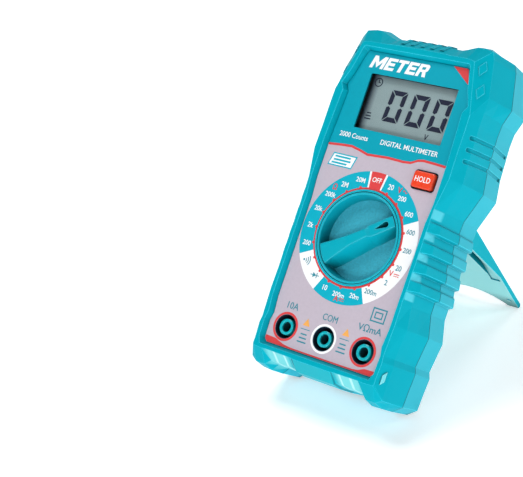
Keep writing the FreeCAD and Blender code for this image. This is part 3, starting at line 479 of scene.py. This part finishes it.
SLEEVE = Shader("capacitor_sleeve", linear(30, 42, 92), rough=0.3, mottle=0.08, mottle_size=0.002).material
BATTERY = Shader("battery_wrap", linear(54, 56, 62), rough=0.3, mottle=0.06, mottle_size=0.006).material
LEAD = Shader("lead_sleeve", linear(176, 28, 30), rough=0.45, mottle=0.08, mottle_size=0.002).material
FUSE_GLASS = clear_shader("fuse_tube_glass", (0.94, 0.97, 0.96, 1), 0.8)

NODE_LOOKS = {
    "front_shell": SHELL, "rear_shell": REAR_LIT_TEAL, "battery_door": DOOR, "tilt_stand": STAND,
    "front_panel": PANEL_TEAL, "selector_knob": KNOB, "detent_balls": NICKEL, "detent_springs": STEEL,
    "wiper_contacts": BRONZE, "hold_button": RED_KEY, "hold_switch_body": BLACK,
    "hold_switch_plunger": BLACK, "lcd_window": WINDOW, "lcd_glass": LCD_FACE, "lcd_bezel": BLACK,
    "zebra_strips": RUBBER, "main_pcb": BOARD, "jack_block": POST, "jack_socket_left": SOCKET,
    "jack_socket_centre": SOCKET, "jack_socket_right": SOCKET, "fuse_glass": FUSE_GLASS,
    "fuse_caps": NICKEL, "fuse_clips": BRONZE, "shunt_wire": BRONZE, "main_ic": BLACK,
    "capacitor": SLEEVE, "overload_thermistor": THERMISTOR, "resistors": RESISTOR, "buzzer": BLACK,
    "battery": BATTERY, "battery_snap": BLACK, "battery_leads": LEAD, "case_screws": STEEL,
    "pcb_screws": STEEL, "battery_door_screw": STEEL,
}


def to_local(point):
    return LOCAL.inverted() @ point


def crease_edges(mesh):
    """Curved faces are shaded smooth, and every sharper edge stays crisp."""
    if "custom_normal" in mesh.attributes:
        mesh.attributes.remove(mesh.attributes["custom_normal"])
    mesh.shade_smooth()
    mesh.set_sharp_from_angle(angle=math.radians(CREASE_DEG))


def near_pad(centre, pads, reach):
    """True if a point is within reach of one of the pads, on either side of the meter."""
    side = Vector((abs(centre.x), centre.y, centre.z))
    return any((side - Vector(pad)).length < reach for pad in pads)


def pad_highlight_faces(face, centre, normal):
    """The faces of a low pad, and the upper edges of the high ones, which get a painted highlight."""
    if face.area > PAD_AREA:
        return False
    low_top = near_pad(centre, LOW_PADS, LOW_REACH) and abs(normal.y) < 0.06 and 0.44 < normal.z < 0.5
    return low_top or (near_pad(centre, HIGH_PADS, HIGH_REACH) and normal.y > 0.5)


def pad_shade(face, centre, normal):
    """The lower edges of the high pads, which get painted shade."""
    return face.area < PAD_AREA and near_pad(centre, HIGH_PADS, HIGH_REACH) and normal.y < -0.5


def lower_end(face, centre, normal):
    """The faces between the two lower corners, round the raised plate."""
    return centre.y < END_Y and normal.y < -0.5 and abs(centre.x) < END_HALF


def second_look(name, material, wanted):
    """Gives the faces of a node that are wanted, by centre and normal, another material."""
    mesh = frame["nodes"][name].data
    mesh.materials.append(material)
    for face in mesh.polygons:
        normal = TURN.transposed() @ face.normal
        if wanted(face, to_local(face.center), normal):
            face.material_index = len(mesh.materials) - 1


def on_knob_floor(face, centre, normal):
    return abs(centre.z - KNOB_FLOOR_Z) < 0.05


def stand_inside(face, centre, normal):
    """The faces of the open stand that look towards the meter's back, which get a painted sheen."""
    inward = Matrix.Rotation(math.radians(STAND_OPEN_DEG), 3, "X") @ Vector((0, 0, 1))
    return normal.dot(inward) > 0.9


def dress_nodes():
    for name, material in NODE_LOOKS.items():
        node = frame["nodes"][name]
        node.data.materials.clear()
        node.data.materials.append(material)
        crease_edges(node.data)
    second_look("tilt_stand", STAND_INNER_SHEEN, stand_inside)
    second_look("selector_knob", KNOB_FLOOR, on_knob_floor)
    second_look("front_shell", PAD_HIGHLIGHT_TEAL, pad_highlight_faces)
    second_look("front_shell", SHADE, pad_shade)
    second_look("front_shell", END, lower_end)


# --- pieces ---
def to_mesh(data):
    """The mesh of a curve or lettering, in millimetres."""
    carrier = bpy.data.objects.new("carrier", data)
    bpy.context.scene.collection.objects.link(carrier)
    graph = bpy.context.evaluated_depsgraph_get()
    mesh = bpy.data.meshes.new_from_object(carrier.evaluated_get(graph))
    bpy.data.objects.remove(carrier)
    bpy.data.curves.remove(data)
    return mesh


def flat_mesh(loops, low, high):
    """A thin plate with the first loop as its edge and the others as holes or islands."""
    curve = bpy.data.curves.new("outline", "CURVE")
    curve.dimensions = "2D"
    curve.fill_mode = "BOTH"
    curve.extrude = (high - low) / 2
    for loop in loops:
        spline = curve.splines.new("POLY")
        spline.points.add(len(loop) - 1)
        for point, (x, y) in zip(spline.points, loop):
            point.co = (x, y, 0, 1)
        spline.use_cyclic_u = True
    mesh = to_mesh(curve)
    mesh.transform(Matrix.Translation((0, 0, (low + high) / 2)))
    return mesh


def letter_mesh(text, x, y, size, low, high, bold=0.0, shear=0.0, width=1.0):
    """A line of lettering, centred on a point."""
    curve = bpy.data.curves.new("letters", "FONT")
    curve.body = text
    curve.size = size
    curve.align_x = "CENTER"
    curve.align_y = "CENTER"
    curve.extrude = (high - low) / 2
    curve.offset = bold
    curve.shear = shear
    curve.resolution_u = 3
    mesh = to_mesh(curve)
    mesh.transform(Matrix.Translation((x, y, (low + high) / 2)) @ Matrix.Diagonal((width, 1, 1, 1)))
    return mesh


# Plain heavy capitals, one unit high: the outline of each and any hole in it.
BLOCK_LETTERS = {
    "M": [[(0, 0), (0, 1), (0.31, 1), (0.62, 0.52), (0.93, 1), (1.24, 1), (1.24, 0), (0.96, 0),
           (0.96, 0.56), (0.62, 0.06), (0.28, 0.56), (0.28, 0)]],
    "E": [[(0, 0), (0, 1), (0.86, 1), (0.86, 0.77), (0.28, 0.77), (0.28, 0.62), (0.76, 0.62),
           (0.76, 0.39), (0.28, 0.39), (0.28, 0.23), (0.86, 0.23), (0.86, 0)]],
    "T": [[(0.3, 0), (0.3, 0.77), (0, 0.77), (0, 1), (0.9, 1), (0.9, 0.77), (0.59, 0.77), (0.59, 0)]],
    "R": [[(0, 0), (0, 1), (0.72, 1), (0.88, 0.88), (0.88, 0.52), (0.74, 0.41), (0.92, 0), (0.61, 0),
           (0.46, 0.37), (0.28, 0.37), (0.28, 0)], [(0.28, 0.57), (0.28, 0.78), (0.6, 0.78), (0.6, 0.57)]],
}


def block_word(word, x, y, height, lean, low, high):
    """A word in heavy slanted capitals, from its lower left corner."""
    letters = []
    for letter in word:
        loops = [[(x + (px + lean * py) * height, y + py * height) for px, py in loop]
                 for loop in BLOCK_LETTERS[letter]]
        letters.append(flat_mesh(loops, low, high))
        x += (max(px for px, _ in BLOCK_LETTERS[letter][0]) + 0.1) * height
    return letters


def lathe_mesh(x, y, profile):
    """A closed ring whose section is a loop of (radius, height) points."""
    made = bmesh.new()
    rings = []
    for i in range(RING_STEPS):
        angle = 2 * math.pi * i / RING_STEPS
        rings.append([made.verts.new((x + r * math.cos(angle), y + r * math.sin(angle), z))
                      for r, z in profile])
    for here, there in zip(rings, rings[1:] + rings[:1]):
        for j in range(len(profile)):
            k = (j + 1) % len(profile)
            made.faces.new((here[j], there[j], there[k], here[k]))
    mesh = bpy.data.meshes.new("ring")
    made.to_mesh(mesh)
    made.free()
    return mesh


def piece(name, meshes, material, body="case", smooth=False):
    """Joins meshes given in the meter's millimetres into one object that rides on a body."""
    joined = bmesh.new()
    for mesh in meshes:
        joined.from_mesh(mesh)
        bpy.data.meshes.remove(mesh)
    bmesh.ops.remove_doubles(joined, verts=joined.verts, dist=0.0005)
    bmesh.ops.recalc_face_normals(joined, faces=joined.faces)
    mesh = bpy.data.meshes.new(name)
    joined.to_mesh(mesh)
    joined.free()
    mesh.transform(LOCAL)
    for face in mesh.polygons:
        face.use_smooth = smooth
    mesh.materials.append(material)
    made = bpy.data.objects.new(name, mesh)
    bpy.context.scene.collection.objects.link(made)
    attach(made, body)


# --- outlines ---
def arc(x, y, radius, start, end, steps):
    """Points on an arc, with angles in degrees clockwise from the top."""
    points = []
    for i in range(steps + 1):
        angle = math.radians(90 - start - (end - start) * i / steps)
        points.append((x + radius * math.cos(angle), y + radius * math.sin(angle)))
    return points


def circle(x, y, radius, steps=64):
    return arc(x, y, radius, 0, 360, steps)[:-1]


def on_dial(radius, turn):
    """The point at a radius and an angle from the OFF mark."""
    return arc(DIAL.x, DIAL.y, radius, turn, turn, 1)[0]


def scale_part(start, end):
    """A part of the dial's scale, between two angles."""
    steps = max(2, int((end - start) / 3))
    inner = arc(DIAL.x, DIAL.y, SCALE_IN, start, end, steps)
    return inner + arc(DIAL.x, DIAL.y, SCALE_OUT, start, end, steps)[::-1]


def soft_box(x, y, width, height, radius):
    """A box round a point, with its corners rounded."""
    points = []
    for sx, sy, start in ((1, 1, 0), (1, -1, 90), (-1, -1, 180), (-1, 1, 270)):
        corner_x = x + sx * (width / 2 - radius)
        corner_y = y + sy * (height / 2 - radius)
        points += arc(corner_x, corner_y, radius, start, start + 90, 5)
    return points


def band(line, width):
    """A ribbon of even width along a line of points."""
    upper = [(x, y + width / 2) for x, y in line]
    lower = [(x, y - width / 2) for x, y in line]
    return upper + lower[::-1]


# The line between the two fields of the panel, and the right edge of each field.
DIVIDER = [(-28.0, 84.3), (-21.7, 84.9), (-16.7, 85.2), (-12.6, 84.4), (-8.3, 83.3), (1.3, 83.9),
           (8.7, 83.7), (12.2, 84.0), (15.2, 85.5), (17.4, 85.9), (22.8, 85.7), (28.0, 85.4)]
LOW_EDGE = [(27.15, 9.6), (26.45, 13.0), (27.15, 20.0), (27.25, 62.0), (28.0, 70.0)]
HIGH_EDGE = [(27.35, 101.6), (27.05, 106.8), (28.7, 109.6), (26.55, 115.0), (25.25, 120.0), (23.9, 124.15),
             (23.15, 124.7)]


def left_of(points):
    """The same edge on the left, in the order that carries an outline on."""
    return [(-x, y) for x, y in reversed(points)]


def panel_fields():
    """The pale lower field and the teal upper field, with openings for what comes through."""
    foot = [(25.5, 0.9), (26.8, 2.2)]
    lower = foot + LOW_EDGE + DIVIDER[::-1] + left_of(LOW_EDGE) + left_of(foot)
    holes = [circle(DIAL.x, DIAL.y, KNOB_HOLE_R), soft_box(HOLD_X, HOLD_Y, 10.9, 7.9, 1.45)]
    holes += [circle(x, JACK_Y, JACK_HOLE_R) for _, x in JACKS]
    piece("panel_lower_field", [flat_mesh([lower] + holes, *FIELD)], PANEL_LILAC)
    upper = DIVIDER + HIGH_EDGE + left_of(HIGH_EDGE)
    opening = soft_box(LCD_X, LCD_Y, LCD_W + 0.06, LCD_H + 0.06, 0.45)
    piece("panel_upper_field", [flat_mesh([upper, opening], *FIELD)], PANEL_TEAL)


def red_marks():
    corner = [(16.9, 124.65), (23.1, 124.65), (23.85, 124.15), (25.2, 120.0), (25.6, 118.4)]
    strip = [(-26.7, 3.6), (-21.9, 3.4), (-17.4, 2.0), (-13.1, 1.55), (13.1, 1.5), (17.0, 1.55),
             (19.5, 1.9), (22.2, 3.0), (26.7, 3.2), (26.7, 2.2), (25.4, 0.95), (-25.4, 0.95), (-26.7, 2.2)]
    reds = [flat_mesh([loop], *MARK) for loop in (band(DIVIDER, 0.95), corner, strip)]
    reds += [jack_ring(x) for _, x in (JACKS[0], JACKS[2])]
    piece("panel_red_marks", reds, PRINT_RED)
    piece("jack_white_ring", [jack_ring(0)], PRINT_WHITE)


def jack_ring(x):
    return flat_mesh([circle(x, JACK_Y, JACK_RING_OUT), circle(x, JACK_Y, JACK_RING_IN)], *MARK)


def ink_marks():
    """A square in a square, and bars in place of the small print beside the jacks."""
    marks = []
    for size, line in ((5.6, 0.55), (2.7, 0.5)):
        outer = soft_box(20.7, 23.9, size + 1.0, size, 0.05)
        inner = soft_box(20.7, 23.9, size + 1.0 - 2 * line, size - 2 * line, 0.03)
        marks.append(flat_mesh([outer, inner], *MARK))
    for x, y in ((-9.5, 10.2), (9.3, 11.2)):
        for row, width, thick in ((0, 4.6, 0.3), (-2.0, 3.0, 0.55), (-3.6, 3.6, 0.55), (-5.2, 4.4, 0.55)):
            marks.append(flat_mesh([soft_box(x, y + row, width, thick, 0.1)], *MARK))
    piece("panel_ink_marks", marks, PRINT_INK)
    ambers = [flat_mesh([[(x - 1.7, y - 1.4), (x + 1.7, y - 1.4), (x, y + 1.6)]], *MARK)
              for x, y in ((-9.7, 13.0), (9.3, 14.0))]
    piece("panel_amber_marks", ambers, PRINT_AMBER)


def badge():
    """A slanted badge with three plain bars on it."""
    edge = [(-25.4, 76.0), (-13.6, 76.0), (-12.2, 81.4), (-24.0, 81.4)]
    inner = [(-24.9, 76.5), (-14.0, 76.5), (-12.9, 80.9), (-23.6, 80.9)]
    bars = [[(-22.9, 79.7), (-15.3, 79.7), (-15.1, 80.4), (-22.7, 80.4)],
            [(-23.2, 78.3), (-14.9, 78.3), (-14.7, 79.0), (-23.0, 79.0)],
            [(-23.8, 77.0), (-16.4, 77.0), (-16.2, 77.7), (-23.6, 77.7)]]
    piece("badge_teal", [flat_mesh([edge, inner], *MARK)] + [flat_mesh([bar], *OVER) for bar in bars],
          PRINT_TEAL)
    piece("badge_white", [flat_mesh([inner], *MARK)], PRINT_WHITE)


def dial_print():
    """The scale's sectors, the red ring round the knob and a dot at every click but OFF."""
    whites = [scale_part(DC_START, DC_END), scale_part(TEST_START, TEST_END),
              scale_part(-GAP_HALF_DEG, -OFF_HALF_DEG), scale_part(OFF_HALF_DEG, GAP_HALF_DEG)]
    teals = [scale_part(GAP_HALF_DEG, DC_START), scale_part(DC_END, TEST_START),
             scale_part(TEST_END, 360 - GAP_HALF_DEG)]
    piece("dial_white_sectors", [flat_mesh([loop], *MARK) for loop in whites], PRINT_WHITE)
    piece("dial_teal_sectors", [flat_mesh([loop], *MARK) for loop in teals], PRINT_TEAL)
    ring = [circle(DIAL.x, DIAL.y, SCALE_IN, 120), circle(DIAL.x, DIAL.y, RING_R, 120)]
    reds = [flat_mesh(ring, *MARK), flat_mesh([scale_part(-OFF_HALF_DEG, OFF_HALF_DEG)], *MARK)]
    for i in range(1, len(SCALE)):
        x, y = on_dial(SCALE_IN + 0.05, i * STEP_DEG)
        reds.append(flat_mesh([circle(x, y, DOT_R, 16)], *OVER))
    piece("dial_red_ring", reds, PRINT_RED)


def dial_numbers():
    whites, teals = [], []
    for i, text in enumerate(SCALE):
        if not text:
            continue
        x, y = on_dial(NUMBER_R if i else OFF_R, i * STEP_DEG)
        size = 3.0 if len(text) < 3 else 2.8
        target = teals if i in TEAL_TEXT else whites
        target.append(letter_mesh(text, x, y, size, *LETTER, bold=0.025, width=0.9))
    piece("dial_numbers_white", whites, PRINT_WHITE)
    teals += diode_sign(*on_dial(DIODE_R, DIODE_STEP * STEP_DEG))
    teals += tone_sign(*on_dial(TONE_R, TONE_STEP * STEP_DEG))
    piece("dial_numbers_teal", teals, PRINT_INK)


def diode_sign(x, y):
    loops = ([(-0.9, -1.0), (-0.9, 1.0), (0.8, 0.0)], [(0.8, -1.1), (1.15, -1.1), (1.15, 1.1), (0.8, 1.1)],
             [(-2.0, -0.16), (-0.9, -0.16), (-0.9, 0.16), (-2.0, 0.16)],
             [(1.15, -0.16), (2.1, -0.16), (2.1, 0.16), (1.15, 0.16)])
    return [flat_mesh([[(x + px, y + py) for px, py in loop]], *LETTER) for loop in loops]


def tone_sign(x, y):
    """A dot and three waves, for the continuity tone."""
    x -= 1.8
    parts = [flat_mesh([circle(x, y, 0.42, 16)], *LETTER)]
    for radius in (1.3, 2.2, 3.1):
        wave = arc(x, y, radius, 52, 128, 6) + arc(x, y, radius - 0.32, 52, 128, 6)[::-1]
        parts.append(flat_mesh([wave], *LETTER))
    return parts


def dial_units():
    units = []
    for text, x, y in (("V", 11.6, 72.5), ("V", 19.8, 40.6), ("A", -0.5, 25.4), ("Ω", -18.0, 67.7)):
        units.append(letter_mesh(text, x, y, 3.3, *LETTER, bold=0.05, width=0.9))
    for x, y in ((22.4, 40.4), (2.1, 25.4)):
        units.append(flat_mesh([soft_box(x, y + 0.45, 2.4, 0.32, 0.08)], *LETTER))
        for step in (-0.85, 0.0, 0.85):
            units.append(flat_mesh([soft_box(x + step, y - 0.35, 0.6, 0.32, 0.08)], *LETTER))
    wave = [(13.2 + 0.2 * i, 72.4 + 0.45 * math.sin(i * math.pi / 5)) for i in range(11)]
    units.append(flat_mesh([band(wave, 0.36)], *LETTER))
    piece("dial_units_red", units, PRINT_RED)


def panel_letters():
    whites = [letter_mesh("2000 Counts", -17.4, 89.4, 2.9, *LETTER, bold=0.02, width=0.92),
              letter_mesh("DIGITAL MULTIMETER", 9.2, 89.3, 2.9, *LETTER, bold=0.02, width=0.95)]
    whites += block_word("METER", -21.3, 118.1, 5.2, 0.28, *LETTER)
    piece("panel_letters_white", whites, PRINT_WHITE)
    inks = [letter_mesh("10A", -18.9, 17.4, 3.9, *LETTER, bold=0.01, width=0.95),
            letter_mesh("COM", 0.1, 17.2, 3.8, *LETTER, bold=0.005, width=0.85),
            letter_mesh("VΩmA", 18.9, 17.8, 3.9, *LETTER, bold=0.01, width=1.0)]
    piece("jack_labels", inks, PRINT_INK)


# --- display ---
def digit_zero(x, y, width, height, thick, lean):
    """The six lit segments of a seven segment zero, as hexagons with gaps between them."""
    gap = 0.22
    half_w, half_h = width / 2, height / 2
    inner_w, inner_h = half_w - thick, half_h - thick
    bar = [(-half_w + gap + 0.1, half_h), (half_w - gap - 0.1, half_h), (inner_w - gap, inner_h),
           (gap - inner_w, inner_h)]
    post = [(half_w, half_h - gap - 0.1), (half_w, gap + 0.5), (half_w - thick / 2, gap),
            (inner_w, gap + 0.7), (inner_w, inner_h - gap)]
    shapes = [bar, [(px, -py) for px, py in bar][::-1]]
    for sx in (1, -1):
        for sy in (1, -1):
            shapes.append([(px * sx, py * sy) for px, py in post])
    return [[(x + px + lean * py, y + py) for px, py in shape] for shape in shapes]


def display():
    """Three zeros, a clock, three bars and the unit, with a dark mask round them that shows at the left as
    painted shade from the window's edge.
    """
    inks = []
    for x in DIGITS_X:
        inks += [flat_mesh([loop], *SEGMENT) for loop in digit_zero(x, DIGITS_Y, 7.6, 13.1, 1.95, 0.06)]
    inks.append(flat_mesh([circle(CLOCK_X, CLOCK_Y, 1.9, 28), circle(CLOCK_X, CLOCK_Y, 1.5, 28)], *SEGMENT))
    for left, low, right, high in ((-0.2, 0.0, 0.2, 1.2), (-0.1, -0.25, 1.0, 0.1)):
        hand = [(left, low), (right, low), (right, high), (left, high)]
        inks.append(flat_mesh([[(CLOCK_X + x, CLOCK_Y + y) for x, y in hand]], *SEGMENT))
    for row in range(3):
        inks.append(flat_mesh([soft_box(-15.9, 98.0 + 1.2 * row, 3.0 - 0.5 * row, 0.5, 0.1)], *SEGMENT))
    inks.append(letter_mesh("V", 13.2, 95.4, 3.3, *SEGMENT, bold=0.04, shear=0.1, width=0.85))
    piece("lcd_segments", inks, LCD_INK)
    # The mask is set wider at the left, as painted shade from the window's edge.
    outer = soft_box(LCD_X, LCD_Y, LCD_W + 1.8, LCD_H + 1.8, 0.5)
    inner = soft_box(LCD_X + 0.25, LCD_Y, LCD_W - 0.3, LCD_H + 0.4, 0.3)
    piece("lcd_shade_mask", [flat_mesh([outer, inner], *SHADE_MASK)], BLACK)


# --- fittings ---
def jack_liners():
    """A dark lining in each jack's well, which stands in for the shade deep in it, and a rounded lip on the
    post inside it.
    """
    for name, x in JACKS:
        ring = [(4.86, -9.45), (4.86, -0.02), (4.62, -0.02), (4.62, -9.2), (3.35, -9.2), (3.35, -9.45)]
        piece("well_shade_liner_" + name, [lathe_mesh(x, JACK_Y, ring)], SHADE_LINING)
        lip = [(3.24, -0.89), (3.24, -0.6), (3.08, -0.42), (2.3, -0.42), (2.06, -0.62), (2.06, -1.58),
               (2.58, -1.58), (2.58, -0.89)]
        piece("post_lip_" + name, [lathe_mesh(x, JACK_Y, lip)], POST, smooth=True)


def hold_fittings():
    """A dark lining round the HOLD key, which stands in for the shade in the gap round it, and the word on
    the key.
    """
    outer = soft_box(HOLD_X, HOLD_Y, 10.76, 7.76, 1.38)
    inner = soft_box(HOLD_X, HOLD_Y, 10.2, 7.2, 1.2)
    piece("hold_pocket_shade_liner", [flat_mesh([outer, inner], *POCKET)], SHADE_LINING)
    text = letter_mesh("HOLD", HOLD_X - 0.1, HOLD_Y, 3.1, *KEY_LETTER, bold=0.03, width=0.84)
    piece("hold_letters", [text], PRINT_WHITE, body="hold_key")


# --- stage ---
def add_stage():
    """A round floor whose edge sweeps up into a low wall, so that no horizon shows."""
    corners, faces = [], [tuple(range(STAGE_SIDES))]
    for ring in range(STAGE_RINGS):
        sweep = math.radians(STAGE_SWEEP_DEG) * ring / (STAGE_RINGS - 1)
        radius = STAGE_FLAT_R + STAGE_SWEEP_R * math.sin(sweep)
        height = STAGE_SWEEP_R * (1 - math.cos(sweep))
        for side in range(STAGE_SIDES):
            turn = math.tau * side / STAGE_SIDES
            corners.append((radius * math.cos(turn), radius * math.sin(turn), height))
            if ring:
                here, before = ring * STAGE_SIDES, (ring - 1) * STAGE_SIDES
                after = (side + 1) % STAGE_SIDES
                faces.append((before + side, before + after, here + after, here + side))
    mesh = bpy.data.meshes.new("floor")
    mesh.from_pydata(corners, [], faces)
    floor = bpy.data.objects.new("floor", mesh)
    bpy.context.scene.collection.objects.link(floor)
    pale = Shader("floor_pale", (FLOOR_ALBEDO, FLOOR_ALBEDO, FLOOR_ALBEDO, 1), rough=0.7, mottle=0.01,
                  mottle_size=0.4, grain=0.02)
    pale.bsdf.inputs["Emission Color"].default_value = (1, 1, 1, 1)
    pale.bsdf.inputs["Emission Strength"].default_value = FLOOR_GLOW
    mesh.materials.append(pale.material)


def add_lights():
    for name, spot, aim, size, watts in LAMPS:
        data = bpy.data.lights.new(name, "AREA")
        data.shape = "RECTANGLE"
        data.size, data.size_y = size
        data.energy = watts
        lamp = bpy.data.objects.new(name, data)
        lamp.location = spot
        lamp.rotation_euler = (Vector(aim) - Vector(spot)).to_track_quat("-Z", "Y").to_euler()
        bpy.context.scene.collection.objects.link(lamp)
    world = bpy.data.worlds.new("studio")
    world.use_nodes = True
    sky = world.node_tree.nodes["Background"]
    sky.inputs["Color"].default_value = (1, 1, 1, 1)
    sky.inputs["Strength"].default_value = WORLD_LIGHT
    bpy.context.scene.world = world
    bpy.context.scene.view_settings.view_transform = "Standard"


def add_camera():
    right = TURN @ CAMERA_RIGHT
    back = right.cross(TURN @ -CAMERA_DOWN).normalized()
    up = back.cross(right).normalized()
    axes = Matrix((right.normalized(), up, back)).transposed().to_4x4()
    camera = bpy.data.objects.new("camera", bpy.data.cameras.new("camera"))
    camera.data.sensor_width = SENSOR_MM
    camera.data.lens = LENS_MM
    camera.matrix_world = Matrix.Translation(LOCAL @ CAMERA_SPOT) @ axes
    bpy.context.scene.collection.objects.link(camera)
    bpy.context.scene.camera = camera


dress_nodes()
panel_fields()
red_marks()
ink_marks()
badge()
dial_print()
dial_numbers()
dial_units()
panel_letters()
display()
jack_liners()
hold_fittings()
add_stage()
add_lights()
add_camera()
bpy.context.view_layer.update()
